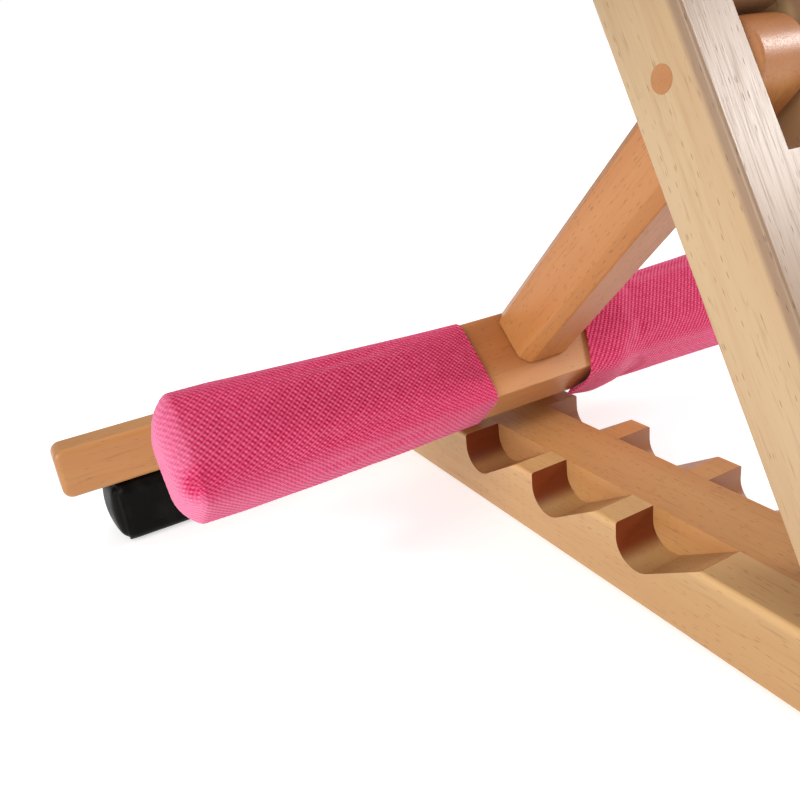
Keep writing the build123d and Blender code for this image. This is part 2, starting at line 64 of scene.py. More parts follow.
class Graph:
    """Short names for building one material's nodes."""

    def __init__(self, name, rough=0.5, **shader):
        self.mat = bpy.data.materials.new(name)
        self.mat.use_nodes = True
        self.tree = self.mat.node_tree
        self.shader = self.tree.nodes["Principled BSDF"]
        self.shader.inputs["Roughness"].default_value = rough
        for key, value in shader.items():
            self.shader.inputs[key.replace("_", " ")].default_value = value

    def add(self, kind, **settings):
        node = self.tree.nodes.new("ShaderNode" + kind)
        for key, value in settings.items():
            setattr(node, key, value)
        return node

    def put(self, socket, value):
        if isinstance(value, bpy.types.NodeSocket):
            self.tree.links.new(value, socket)
        elif value is not None:
            socket.default_value = value

    def maths(self, operation, a, b=None, c=None, clamp=False):
        node = self.add("Math", operation=operation, use_clamp=clamp)
        for socket, value in zip(node.inputs, (a, b, c)):
            self.put(socket, value)
        return node.outputs[0]

    def mix(self, share, a, b, blend="MIX"):
        node = self.add("Mix", data_type="RGBA", blend_type=blend, clamp_factor=True)
        self.put(node.inputs[0], share)
        self.put(node.inputs[6], a)
        self.put(node.inputs[7], b)
        return node.outputs[2]

    def ramp(self, value, low, high, to_low=0.0, to_high=1.0):
        node = self.add("MapRange", interpolation_type="SMOOTHSTEP")
        for index, item in enumerate((value, low, high, to_low, to_high)):
            self.put(node.inputs[index], item)
        return node.outputs[0]

    def coords(self, rotation=(0, 0, 0), scale=(1, 1, 1), shift=(0, 0, 0)):
        """Object coordinates in metres, turned, then moved, then scaled."""
        turn = self.add("VectorRotate", rotation_type="EULER_XYZ")
        self.put(turn.inputs["Vector"], self.add("TexCoord").outputs["Object"])
        turn.inputs["Rotation"].default_value = rotation
        return self.scaled(turn.outputs[0], scale, shift)

    def scaled(self, vector, scale, shift=(0, 0, 0)):
        moved = self.add("VectorMath", operation="ADD")
        self.put(moved.inputs[0], vector)
        moved.inputs[1].default_value = shift
        node = self.add("VectorMath", operation="MULTIPLY")
        self.put(node.inputs[0], moved.outputs[0])
        node.inputs[1].default_value = scale
        return node.outputs[0]

    def noise(self, vector, scale=1.0, detail=2.0, rough=0.5, warp=0.0):
        node = self.add("TexNoise")
        self.put(node.inputs["Vector"], vector)
        node.inputs["Scale"].default_value = scale
        node.inputs["Detail"].default_value = detail
        node.inputs["Roughness"].default_value = rough
        node.inputs["Distortion"].default_value = warp
        return node.outputs["Fac"]

    def voronoi(self, vector, scale=1.0):
        node = self.add("TexVoronoi")
        self.put(node.inputs["Vector"], vector)
        node.inputs["Scale"].default_value = scale
        return node.outputs["Distance"], node.outputs["Color"]

    def bump(self, height, distance, strength=1.0, under=None):
        node = self.add("Bump")
        node.inputs["Strength"].default_value = strength
        node.inputs["Distance"].default_value = distance
        self.put(node.inputs["Height"], height)
        if under is not None:
            self.put(node.inputs["Normal"], under)
        return node.outputs[0]

    def finish(self, colour, rough=None, normal=None):
        self.put(self.shader.inputs["Base Color"], colour)
        if rough is not None:
            self.put(self.shader.inputs["Roughness"], rough)
        if normal is not None:
            self.put(self.shader.inputs["Normal"], normal)
        return self.mat


# features of the wood per metre, along its grain and across it both ways
GROWTH = (2.5, 26.0, 34.0)
RINGS = (5.0, 170.0, 230.0)
FIBRES = (55.0, 1250.0, 1500.0)
FLECKS = (210.0, 1500.0, 1700.0)
# colours of steamed beech, before a piece's own tint
LIGHT_WOOD = (0.490, 0.312, 0.162)
WARM_WOOD = (0.410, 0.215, 0.092)
PORE = (0.210, 0.085, 0.030, 1)
END_GRAIN = (0.190, 0.031, 0.005, 1)


def tinted(colour, tint):
    return tuple(part * share for part, share in zip(colour, tint)) + (1,)


def beech(name, axis, seed, tint, flecks, end, painted_band):
    """Steamed beech, its grain along axis: growth streaks, fine dark pores and ray flecks.

    flecks and end say how many flecks there are and how dark the end grain is. The last argument
    paints light or shade near one face: a direction, where along it the painted band starts and is full,
    and its tint.
    """
    g = Graph(name, rough=0.42, Coat_Weight=0.06, Coat_Roughness=0.3)
    euler = Vector(axis).rotation_difference(ALONG_X).to_euler("XYZ")
    shift = (0.37 * seed, 0.23 * seed + 0.011, 0.31 * seed + 0.007)
    base = g.coords(tuple(euler), shift=shift)
    bend = g.noise(g.scaled(base, (5.0, 14.0, 14.0)), detail=1.0)
    swayed = g.add("VectorMath", operation="MULTIPLY_ADD")
    g.put(swayed.inputs[0], bend)
    swayed.inputs[1].default_value = (0.0, 0.007, 0.009)
    g.put(swayed.inputs[2], base)
    along = swayed.outputs[0]
    broad = g.noise(g.scaled(along, GROWTH), detail=2.0)
    rings = g.noise(g.scaled(along, RINGS), detail=4.0, rough=0.62)
    fibre = g.noise(g.scaled(along, FIBRES), detail=2.0, rough=0.6)
    spots, spot_colour = g.voronoi(g.scaled(along, FLECKS))
    chance = g.add("SeparateColor")
    g.put(chance.inputs[0], spot_colour)
    rarest = 1.0 - 0.42 * flecks
    shown = g.ramp(chance.outputs[0], rarest, rarest + 0.04)
    fleck = g.maths("MULTIPLY", shown, g.ramp(spots, 0.34, 0.14))
    warm = tinted(WARM_WOOD, tint)
    colour = g.mix(g.ramp(broad, 0.3, 0.72), tinted(LIGHT_WOOD, tint), warm)
    colour = g.mix(g.ramp(rings, 0.5, 0.78, 0.0, 0.55), colour, warm)
    colour = g.mix(g.ramp(rings, 0.66, 0.86, 0.0, 0.35), colour, PORE)
    colour = g.mix(g.ramp(fibre, 0.56, 0.76, 0.0, 0.34), colour, PORE)
    colour = g.mix(g.maths("MULTIPLY", fleck, 0.6), colour, PORE)
    # painted light or shade in a band near one face, laid over the wood's own colour
    if painted_band:
        direction, start, full, painted_band_tint = painted_band
        depth = g.add("VectorMath", operation="DOT_PRODUCT")
        g.put(depth.inputs[0], g.add("TexCoord").outputs["Object"])
        depth.inputs[1].default_value = tuple(direction)
        uneven = g.maths("MULTIPLY_ADD", broad, 0.004, depth.outputs["Value"])
        other = g.mix(1.0, colour, painted_band_tint, "MULTIPLY")
        colour = g.mix(g.ramp(uneven, start, full), colour, other)
    facing = g.add("VectorMath", operation="DOT_PRODUCT")
    g.put(facing.inputs[0], g.add("TexCoord").outputs["Normal"])
    facing.inputs[1].default_value = tuple(axis)
    end_grain = g.ramp(g.maths("ABSOLUTE", facing.outputs["Value"]), 0.35, 0.9, 0.0, end)
    colour = g.mix(end_grain, colour, END_GRAIN)
    rough = g.maths("ADD", g.ramp(fibre, 0.4, 0.8, 0.37, 0.5), g.maths("MULTIPLY", fleck, 0.1))
    pores = g.maths("ADD", g.maths("MULTIPLY", fibre, -0.6), g.maths("MULTIPLY", fleck, -0.4))
    return g.finish(colour, rough, g.bump(pores, 0.00012, 0.6))


# turns of the weave's row and stitch patterns per metre of the sleeve, along it and around it
ROW = (-433.0, 352.0)
STITCH = (212.0, 352.0)
ROW_RISE, STITCH_RISE = 0.21, 0.13                       # how proud each makes the threads
THREAD_SPREAD = 0.14                                     # how much one stitch differs from the next


def pink_weave():
    """Coarse basket weave lying askew: proud stitches in rows with deep holes between, the holes in
    painted shade and the stitches in painted light.
    """
    g = Graph("pink_basket_weave", rough=0.85, Sheen_Weight=0.7, Sheen_Roughness=0.35)
    g.shader.inputs["Sheen Tint"].default_value = (1.0, 0.50, 0.68, 1)
    g.shader.inputs["Specular IOR Level"].default_value = 0.12
    where = g.add("Attribute", attribute_name="weave").outputs["Vector"]
    parts = g.add("SeparateXYZ")
    g.put(parts.inputs[0], where)
    turn = 2 * math.pi
    row = g.maths("COSINE", g.maths("MULTIPLY", parts.outputs[0], turn))
    stitch = g.maths("COSINE", g.maths("MULTIPLY", parts.outputs[1], turn))
    half_stitch = g.maths("COSINE", g.maths("MULTIPLY", parts.outputs[1], 2 * turn))
    height = g.maths("MULTIPLY_ADD", row, ROW_RISE, 0.5 - THREAD_SPREAD / 2)
    height = g.maths("MULTIPLY_ADD", half_stitch, STITCH_RISE, height)
    height = g.maths("MULTIPLY_ADD", g.maths("MULTIPLY", row, stitch), STITCH_RISE, height)
    cell = g.add("VectorMath", operation="FLOOR")
    g.put(cell.inputs[0], g.scaled(where, (1.0, 2.0, 0.0), (0.5, 0.25, 0.0)))
    each = g.add("TexWhiteNoise")
    g.put(each.inputs["Vector"], cell.outputs[0])
    height = g.maths("MULTIPLY_ADD", each.outputs[0], THREAD_SPREAD, height)
    fuzz = g.noise(g.coords(), scale=2600.0, detail=2.0)
    cloudy = g.noise(g.coords(), scale=38.0, detail=2.0)
    deep = (0.380, 0.008, 0.043, 1)
    mid = (0.680, 0.041, 0.138, 1)
    pale = (0.850, 0.165, 0.320, 1)
    painted_light_pink = (0.900, 0.380, 0.600, 1)
    # painted shade in the holes between threads, painted light on the proud stitches
    colour = g.mix(g.ramp(height, 0.14, 0.46), deep, mid)
    colour = g.mix(g.ramp(height, 0.42, 0.92), colour, pale)
    colour = g.mix(g.ramp(cloudy, 0.35, 0.7, 0.0, 0.16), colour, mid)
    # the third coordinate paints light on the cloth where it is positive and paints shade where negative
    colour = g.mix(parts.outputs[2], colour, painted_light_pink)
    colour = g.mix(g.maths("MULTIPLY", parts.outputs[2], -1.0), colour, deep)
    height = g.maths("MULTIPLY_ADD", fuzz, 0.12, height)
    return g.finish(colour, g.ramp(fuzz, 0.3, 0.7, 0.78, 0.92), g.bump(height, 0.0005, 0.7))


def leatherette():
    """Black coated cloth with a fine grain, soft creases and scuffs."""
    g = Graph("black_leatherette", rough=0.34)
    g.shader.inputs["Specular IOR Level"].default_value = 0.06
    edge, _ = g.voronoi(g.coords(), scale=900.0)
    creases = g.noise(g.coords(scale=(30.0, 90.0, 60.0)), detail=3.0, warp=0.6)
    scuff = g.noise(g.coords(), scale=70.0, detail=4.0)
    colour = g.mix(g.ramp(scuff, 0.45, 0.75), (0.004, 0.004, 0.0035, 1), (0.009, 0.009, 0.008, 1))
    grain = g.bump(edge, 0.00012, 0.35)
    normal = g.bump(creases, 0.0012, 0.25, grain)
    return g.finish(colour, g.ramp(scuff, 0.3, 0.8, 0.28, 0.46), normal)


def plain(name, colour, other, scale, rough, bump_depth=0.0001, **shader):
    """A mottled material for foam, rubber and metal."""
    g = Graph(name, rough=rough, **shader)
    mottle = g.noise(g.coords(), scale=scale, detail=4.0, rough=0.6)
    body = g.mix(g.ramp(mottle, 0.35, 0.7), colour, other)
    fine = g.noise(g.coords(), scale=scale * 9, detail=2.0)
    shine = g.ramp(mottle, 0.3, 0.75, rough * 0.85, min(1.0, rough * 1.2))
    return g.finish(body, shine, g.bump(fine, bump_depth, 0.5))


def cotton():
    """Plied thread, its twist running round threads that follow the mast."""
    g = Graph("cotton_warp", rough=0.85, Sheen_Weight=0.15)
    euler = UP.rotation_difference(ALONG_X).to_euler("XYZ")
    base = g.coords(tuple(euler))
    parts = g.add("SeparateXYZ")
    g.put(parts.inputs[0], base)
    slant = g.maths("MULTIPLY_ADD", parts.outputs[1], 2.4, parts.outputs[0])
    ply = g.maths("ABSOLUTE", g.maths("SINE", g.maths("MULTIPLY", slant, 2 * math.pi / 0.0042)))
    fuzz = g.noise(base, scale=3000.0)
    # painted shade in the grooves between the plies
    colour = g.mix(g.ramp(ply, 0.0, 0.6), (0.50, 0.44, 0.32, 1), (0.84, 0.80, 0.69, 1))
    height = g.maths("MULTIPLY_ADD", fuzz, 0.3, ply)
    return g.finish(colour, None, g.bump(height, 0.0003, 0.8))


STEEL = plain("zinc_plated_steel", (0.62, 0.62, 0.60, 1), (0.48, 0.48, 0.47, 1), 300, 0.32, Metallic=1.0)
RUBBER = plain("black_rubber", (0.018, 0.018, 0.018, 1), (0.03, 0.03, 0.03, 1), 400, 0.75)
FOAM = plain("wadding", (0.80, 0.78, 0.72, 1), (0.70, 0.67, 0.60, 1), 500, 0.95, 0.0004)
PINK = pink_weave()
LEATHER = leatherette()
COTTON = cotton()

PALE = (1.07, 1.19, 1.28)
STRAW = (1.07, 1.07, 0.88)
TAN = (1.16, 0.95, 0.67)
AMBER = (1.13, 0.82, 0.52)
RUSSET = (1.06, 0.79, 0.47)

# node: grain direction, where in the timber it was cut, colour, ray flecks, darker end grain
grains = {
    "base_core": (ALONG_Y, 1, TAN, 0.8, 0.45),
    "rack_left": (ALONG_Y, 2, STRAW, 0.6, 1.0),
    "rack_right": (ALONG_Y, 3, TAN, 0.5, 0.6),
    "rear_bar": (ALONG_X, 4, RUSSET, 0.4, 0.2),
    "front_bar": (ALONG_X, 5, TAN, 0.5, 0.3),
    "rear_foot_block_left": (ALONG_X, 6, TAN, 0.5, 0.45),
    "rear_foot_block_right": (ALONG_X, 7, TAN, 0.5, 0.45),
    "mast": (UP, 8, PALE, 0.4, 0.45),
    "pin_plugs": (ALONG_X, 9, TAN, 0.5, 0.25),
    "prop_post": (DOWN, 10, AMBER, 1.0, 0.45),
    "crossbar": (ALONG_X, 11, (1.04, 0.66, 0.42), 0.6, 0.45),
    "prop_heel_left": (DOWN, 12, RUSSET, 0.5, 0.45),
    "prop_heel_right": (DOWN, 13, RUSSET, 0.5, 0.45),
    "side_rail_left": (UP, 14, STRAW, 0.5, 0.4),
    "side_rail_right": (UP, 15, TAN, 0.5, 0.4),
    "stretcher_lower": (ALONG_X, 16, TAN, 0.5, 0.4),
    "stretcher_upper": (ALONG_X, 17, STRAW, 0.5, 0.4),
    "clamp_knob_lower": (UP, 18, AMBER, 0.5, 0.4),
    "clamp_knob_upper": (UP, 19, AMBER, 0.5, 0.4),
    "cloth_roller": (ALONG_X, 20, TAN, 0.5, 0.4),
    "warp_roller": (ALONG_X, 21, TAN, 0.5, 0.4),
    "cloth_ratchet": (UP, 22, AMBER, 0.5, 0.4),
    "warp_ratchet": (UP, 23, AMBER, 0.5, 0.4),
    "cloth_knob": (UP, 24, AMBER, 0.5, 0.4),
    "warp_knob": (UP, 25, AMBER, 0.5, 0.4),
    "cloth_pawl": (UP, 26, RUSSET, 0.5, 0.4),
    "warp_pawl": (UP, 27, RUSSET, 0.5, 0.4),
    "beater_cap": (ALONG_X, 28, TAN, 0.5, 0.4),
    "beater_leg_left": (OUT, 29, TAN, 0.5, 0.4),
    "beater_leg_right": (OUT, 30, TAN, 0.5, 0.4),
    "beater_sill": (ALONG_X, 31, TAN, 0.5, 0.4),
}


# ------------------------------------------------------------------ CAD nodes

def cleaner():
    """Geometry nodes that drop a carried-over mesh's custom normals and weld it."""
    tree = bpy.data.node_groups.new("clean_edges", "GeometryNodeTree")
    tree.interface.new_socket("Geometry", in_out="INPUT", socket_type="NodeSocketGeometry")
    tree.interface.new_socket("Geometry", in_out="OUTPUT", socket_type="NodeSocketGeometry")
    start = tree.nodes.new("NodeGroupInput")
    end = tree.nodes.new("NodeGroupOutput")
    drop = tree.nodes.new("GeometryNodeRemoveAttribute")
    drop.inputs["Name"].default_value = "custom_normal"
    weld = tree.nodes.new("GeometryNodeMergeByDistance")
    weld.inputs["Distance"].default_value = 0.000004
    tree.links.new(start.outputs[0], drop.inputs["Geometry"])
    tree.links.new(drop.outputs["Geometry"], weld.inputs["Geometry"])
    tree.links.new(weld.outputs["Geometry"], end.inputs[0])
    return tree


CLEAN = cleaner()


def ease(node, width, merge_flats=True):
    """Welds a CAD node's faces and rounds its edges, with modifiers alone."""
    node.modifiers.new("Clean", "NODES").node_group = CLEAN
    if merge_flats:
        flat = node.modifiers.new("Flat", "DECIMATE")
        flat.decimate_type = "DISSOLVE"
        flat.angle_limit = math.radians(0.6)
    bevel = node.modifiers.new("Eased", "BEVEL")
    bevel.width = width
    bevel.segments = 2
    bevel.limit_method = "ANGLE"
    bevel.angle_limit = math.radians(28)
    bevel.harden_normals = True


def paint(node, material):
    """Gives a carried-over node one material in place of its own."""
    node.data.materials.clear()
    node.data.materials.append(material)


# pieces with light or shade painted near one face: a painted highlight on the crossbar's near strip,
# painted shade on the mast's front, painted light on the left rack's top
bar_u = BAR_MID.dot(AWAY)
rack_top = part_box("rack_left")[1].z
mast_out = max(v.co.dot(OUT) for v in nodes["mast"].data.vertices)
painted_bands = {
    "crossbar": (AWAY, bar_u + 0.004, bar_u - 0.014, (1.30, 1.70, 2.30, 1)),
    "mast": (OUT, mast_out - 0.003, mast_out - 0.0005, (0.58, 0.54, 0.60, 1)),
    "rack_left": (ALONG_Z, rack_top - 0.003, rack_top, (1.20, 1.22, 1.24, 1)),
}
for name, (axis, seed, tint, flecks, end) in grains.items():
    paint(nodes[name], beech(f"beech_{name}", axis, seed, tint, flecks, end, painted_bands.get(name)))
    if name != "pin_plugs":
        ease(nodes[name], 0.0007, merge_flats=not name.startswith("rack"))
steels = ("rear_bar_screws", "front_bar_screws", "mast_bolt", "mast_washers", "mast_nut",
          "prop_pin", "clamp_bolts", "pawl_screws", "reed_slats")
for name in steels:
    paint(nodes[name], STEEL)
    ease(nodes[name], 0.0003)
paint(nodes["front_feet"], RUBBER)
ease(nodes["front_feet"], 0.0006)
paint(nodes["warp_threads"], COTTON)


# ------------------------------------------------------------------ mesh helpers

def piece(name, verts, faces, material, body):
    """A smooth mesh object that rides on a body and fills a material slot."""
    mesh = bpy.data.meshes.new(name)
    mesh.from_pydata([tuple(v) for v in verts], [], faces)
    mesh.materials.append(material)
    mesh.polygons.foreach_set("use_smooth", [True] * len(mesh.polygons))
    obj = bpy.data.objects.new(name, mesh)
    scene.collection.objects.link(obj)
    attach(obj, body)
    return obj


def read(mesh):
    """The mesh's points, one row each."""
    flat = np.empty(len(mesh.vertices) * 3, np.float64)
    mesh.vertices.foreach_get("co", flat)
    return flat.reshape(-1, 3)


def normals_of(mesh):
    """The normals at the mesh's points, one row each."""
    flat = np.empty(len(mesh.vertices) * 3, np.float64)
    mesh.vertices.foreach_get("normal", flat)
    return flat.reshape(-1, 3)


def write(mesh, points):
    """Moves the mesh's points to these rows."""
    mesh.vertices.foreach_set("co", np.asarray(points, np.float32).ravel())
    mesh.update()


def bake(obj):
    """Applies all of obj's modifiers to its mesh."""
    bpy.context.view_layer.update()
    done = bpy.data.meshes.new_from_object(obj.evaluated_get(bpy.context.evaluated_depsgraph_get()))
    obj.modifiers.clear()
    obj.data = done


def puff(obj, pinned, pressure, cap, sink, frames=20):
    """Cloth under pressure, applied: no point moves more than cap, or sinks more than sink."""
    group = obj.vertex_groups.new(name="pin")
    group.add(list(pinned), 1.0, "REPLACE")
    start = read(obj.data)
    outward = normals_of(obj.data)
    cloth = obj.modifiers.new("Cloth", "CLOTH")
    s = cloth.settings
    s.quality = 6
    s.mass = 0.25
    s.tension_stiffness = s.compression_stiffness = 14
    s.shear_stiffness = 6
    s.bending_stiffness = 0.4
    s.use_pressure = True
    s.uniform_pressure_force = pressure
    s.effector_weights.gravity = 0
    s.vertex_group_mass = "pin"
    cloth.collision_settings.use_collision = False
    for number in range(1, frames + 1):
        scene.frame_set(number)
    moved = read(obj.evaluated_get(bpy.context.evaluated_depsgraph_get()).data)
    step = moved - start
    size = np.linalg.norm(step, axis=1, keepdims=True)
    step *= np.minimum(1.0, cap / np.maximum(size, 1e-9))
    rise = np.sum(step * outward, axis=1, keepdims=True)
    step += outward * (np.maximum(rise, -sink) - rise)
    obj.modifiers.remove(cloth)
    obj.vertex_groups.remove(group)
    write(obj.data, start + step)
    scene.frame_set(1)


# ------------------------------------------------------------------ grips

AROUND = 84                                              # points round a sleeve
SIDE_RINGS = 77                                          # rings along its sides
CAP_RINGS = 8                                            # rings on its closed end
MOUTH_STANDOFF = 0.0016                                  # gap between arm and sleeve at the mouth
FULL_STANDOFF = 0.005                                    # the same where the sleeve is full
LEFT_END, RIGHT_END = 0.1650, 0.1690                     # where the sides end, from the bar's middle
LEFT_LIFT = 0.0016                                       # how far the left sleeve rides up there
CAP_BULGE = 0.0080


def rounded(half_a, half_b, radius, count):
    """Points round a rounded rectangle, evenly spaced, from the middle of its +b side."""
    flat_a, flat_b = half_a - radius, half_b - radius
    arc = math.pi * radius / 2
    # each straight's length, and the centre of the corner after it
    straights = [(flat_a, flat_a, flat_b), (2 * flat_b, flat_a, -flat_b),
                 (2 * flat_a, -flat_a, -flat_b), (2 * flat_b, -flat_a, flat_b), (flat_a, 0, flat_b)]
    perimeter = 4 * (flat_a + flat_b + arc)
    points = []
    for k in range(count):
        left = perimeter * k / count
        for quarter, (straight, centre_a, centre_b) in enumerate(straights):
            turned = quarter * math.pi / 2
            short = max(0.0, straight - left)
            left -= straight
            bend = turned + max(0.0, left) / radius
            if left <= arc:
                points.append((
                    centre_a + radius * math.sin(bend) - short * math.cos(turned),
                    centre_b + radius * math.cos(bend) + short * math.sin(turned),
                ))
                break
            left -= arc
    return points


def at(x, t, u):
    """The point x along the crossbar, t down the prop and u across it from the bar's middle."""
    return BAR_MID + ALONG_X * x + DOWN * t + AWAY * u


def band(rings, around, side):
    """Quads between rings of points, facing out from the arm on that side."""
    faces = []
    for i in range(rings - 1):
        for j in range(around):
            a, b = i * around + j, i * around + (j + 1) % around
            quad = (a, b, b + around, a + around)
            faces.append(quad if side > 0 else quad[::-1])
    return faces


def mouth_left(t, u):
    return 0.0338 + 0.0006 * math.sin(90 * t + 60 * u)


def mouth_right(t, u):
    """The loose mouth runs back towards the far side and clears the heel below."""
    near = min(1.0, max(0.0, (BAR_U - u) / (2 * BAR_U)))
    x = 0.0335 - 0.0145 * near ** 1.3
    if t > 0.010:
        under = min(1.0, max(0.0, (u + 0.021) / 0.009))
        x += (0.0362 - x) * under * min(1.0, (t - 0.010) / 0.004)
    return x


def sleeve_points(side, end, mouth, loose):
    """Rings of a sleeve, from its mouth to the middle of its closed end."""
    verts = []
    end_lift = LEFT_LIFT if side < 0 else 0.0
    for i in range(SIDE_RINGS):
        f = i / (SIDE_RINGS - 1)
        swell = MOUTH_STANDOFF + (FULL_STANDOFF - MOUTH_STANDOFF) * min(1.0, f * 1.15)
        swell += loose * 0.0016 * math.exp(-((f - 0.10) / 0.07) ** 2)
        lift = end_lift * f
        for t, u in rounded(BAR_T + swell, BAR_U + swell, 0.004 + 0.005 * f, AROUND):
            start = mouth(t, u)
            under = max(0.0, -u / BAR_U) * max(0.0, 1 - abs(t + 0.004) / 0.024)
            sag = loose * 0.0030 * under * math.exp(-((f - 0.02) / 0.13) ** 2)
            verts.append(at(side * (start + (end - start) * f), t - lift, u + lift - sag))
    outline = rounded(BAR_T + FULL_STANDOFF, BAR_U + FULL_STANDOFF, 0.009, AROUND)
    for k in range(1, CAP_RINGS + 1):
        g = k / CAP_RINGS
        shrink = 1 - g ** 1.15
        x = end + CAP_BULGE * math.sin(0.5 * math.pi * min(1.0, g * 1.8))
        for t, u in outline:
            verts.append(at(side * x, t * shrink - end_lift, u * shrink + end_lift))
    return verts


def weld(obj, side):
    """Joins points that coincide and turns the sleeve's faces outwards."""
    work = bmesh.new()
    work.from_mesh(obj.data)
    bmesh.ops.remove_doubles(work, verts=work.verts, dist=0.00002)
    bmesh.ops.recalc_face_normals(work, faces=work.faces)
    work.faces.ensure_lookup_table()
    sample = work.faces[20 * AROUND]
    arm = BAR_MID + ALONG_X * (side * 0.1)
    if sample.normal.dot(sample.calc_center_median() - arm) < 0:
        bmesh.ops.reverse_faces(work, faces=work.faces)
    work.to_mesh(obj.data)
    work.free()


def hem(obj, side):
    """Turns the mouth's edge in, in three steps: depth along the arm and inward."""
    work = bmesh.new()
    work.from_mesh(obj.data)
    rim = [e for e in work.edges if e.is_boundary]
    for depth, inward in ((-0.0006, 0.0003), (0.0002, 0.0011), (0.006, 0.0013)):
        made = bmesh.ops.extrude_edge_only(work, edges=rim)["geom"]
        fresh = [v for v in made if isinstance(v, bmesh.types.BMVert)]
        rim = [e for e in made if isinstance(e, bmesh.types.BMEdge)]
        for v in fresh:
            rel = v.co - BAR_MID
            t, u = rel.dot(DOWN), rel.dot(AWAY)
            spread = max(abs(t) / BAR_T, abs(u) / BAR_U, 0.1)
            v.co -= (DOWN * t + AWAY * u) * (inward / BAR_U / spread)
            v.co.x += side * depth
    bmesh.ops.recalc_face_normals(work, faces=work.faces)
    work.to_mesh(obj.data)
    work.free()


def grip(side, name, mouth, loose):
    """A padded sleeve on one arm of the crossbar."""
    end = LEFT_END if side < 0 else RIGHT_END
    verts = sleeve_points(side, end, mouth, loose)
    faces = band(SIDE_RINGS + CAP_RINGS, AROUND, side)
    obj = piece(name, verts, faces, PINK, "prop")
    weld(obj, side)
    puff(obj, pinned=range(2 * AROUND), pressure=3.0, cap=0.0022, sink=0.0003)
    hem(obj, side)
    obj.data.polygons.foreach_set("use_smooth", [True] * len(obj.data.polygons))
    sub = obj.modifiers.new("Subdivision", "SUBSURF")
    sub.levels = sub.render_levels = 2
    bake(obj)
    weave_on(obj, side, end)
    return obj


def distance_round(t, u, a, b):
    """How far round a rectangle of half sizes a and b each point lies, by its direction."""
    scale = np.maximum(np.maximum(np.abs(t) / a, np.abs(u) / b), 1e-6)
    on_t, on_u = t / scale, u / scale
    flat = np.where(on_u > 0, on_t, -(2 * a + 2 * b) - on_t)
    steep = np.where(on_t > 0, a + b - on_u, -(a + b - on_u))
    return np.where(np.abs(on_t) < a * 0.9999, flat, steep)


def polygon_values(mesh, key, kind, width):
    """One property of every face, with width numbers for each."""
    values = np.empty(len(mesh.polygons) * width, dtype=kind)
    mesh.polygons.foreach_get(key, values)
    return values.reshape(-1, width) if width > 1 else values


def weave_on(obj, side, end):
    """Lays the weave's pattern on the sleeve, face by face, and presses it into the surface."""
    mesh = obj.data
    points = read(mesh)
    normals = normals_of(mesh)
    rel = points - np.array(BAR_MID)
    x = side * rel[:, 0]
    t = rel @ np.array(DOWN)
    u = rel @ np.array(AWAY)
    a, b = BAR_T + 0.004, BAR_U + 0.004
    around = distance_round(t, u, a, b)
    sway = 0.0005 * np.sin(61 * x + 90 * t) + 0.0004 * np.sin(140 * u - 33 * x)

    corner = np.empty(len(mesh.loops), dtype=np.int32)
    mesh.loops.foreach_get("vertex_index", corner)
    size = polygon_values(mesh, "loop_total", np.int32, 1)
    middle = polygon_values(mesh, "center", np.float64, 3)
    facing = polygon_values(mesh, "normal", np.float64, 3)
    face = np.repeat(np.arange(len(size)), size)
    capped = (side * facing[:, 0] > 0.62) & (side * (middle[:, 0] - BAR_MID.x) > end - 0.004)
    on_cap = capped[face]

    # every corner of a face is measured on the same lap as the face's first one
    first = np.concatenate(([0], np.cumsum(size)[:-1]))
    base = around[corner[first]][face]
    lap = 4 * (a + b)
    round_way = around[corner] - lap * np.round((around[corner] - base) / lap)
    p = np.where(on_cap, end + 0.002 + t[corner] + a, x[corner]) + sway[corner]
    q = np.where(on_cap, u[corner] - a - b, round_way) + sway[corner] * 0.6
    row = ROW[0] * p + ROW[1] * q
    stitch = STITCH[0] * p + STITCH[1] * q

    # painted light: the cloth is painted paler on its end (painted sheen) and underneath (painted bounce
    # light from the floor); painted shade darkens the dart gathered at one corner
    ends = np.clip(side * normals[:, 0], 0, 1)
    below = np.clip(-(normals @ np.array(AWAY)), 0, 1) ** 2
    dart = np.exp(-((x - end) / 0.0045) ** 2 - ((t + a - 0.002) / 0.0045) ** 2)
    dart = dart * np.exp(-((u + b - 0.009) / 0.0042) ** 2)
    painted_light_and_shade = (0.40 * ends + 0.13 * below - 0.95 * dart)[corner]
    where = np.stack([row, stitch, painted_light_and_shade], axis=1)
    attribute = mesh.attributes.new("weave", "FLOAT_VECTOR", "CORNER")
    attribute.data.foreach_set("vector", where.astype(np.float32).ravel())

    wave = 0.45 * np.cos(2 * np.pi * row) + 0.28 * np.cos(4 * np.pi * stitch)
    lifted, shares = np.zeros(len(points)), np.zeros(len(points))
    np.add.at(lifted, corner, wave)
    np.add.at(shares, corner, 1.0)
    lifted = 0.00014 * lifted / np.maximum(shares, 1.0) - 0.0020 * dart
    write(mesh, points + normals * lifted[:, None])


left_grip = grip(-1, "padded_grip_left", mouth_left, 0.0)
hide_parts("grip_sleeve_left")
right_grip = grip(1, "padded_grip_right", mouth_right, 1.0)
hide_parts("grip_sleeve_right")


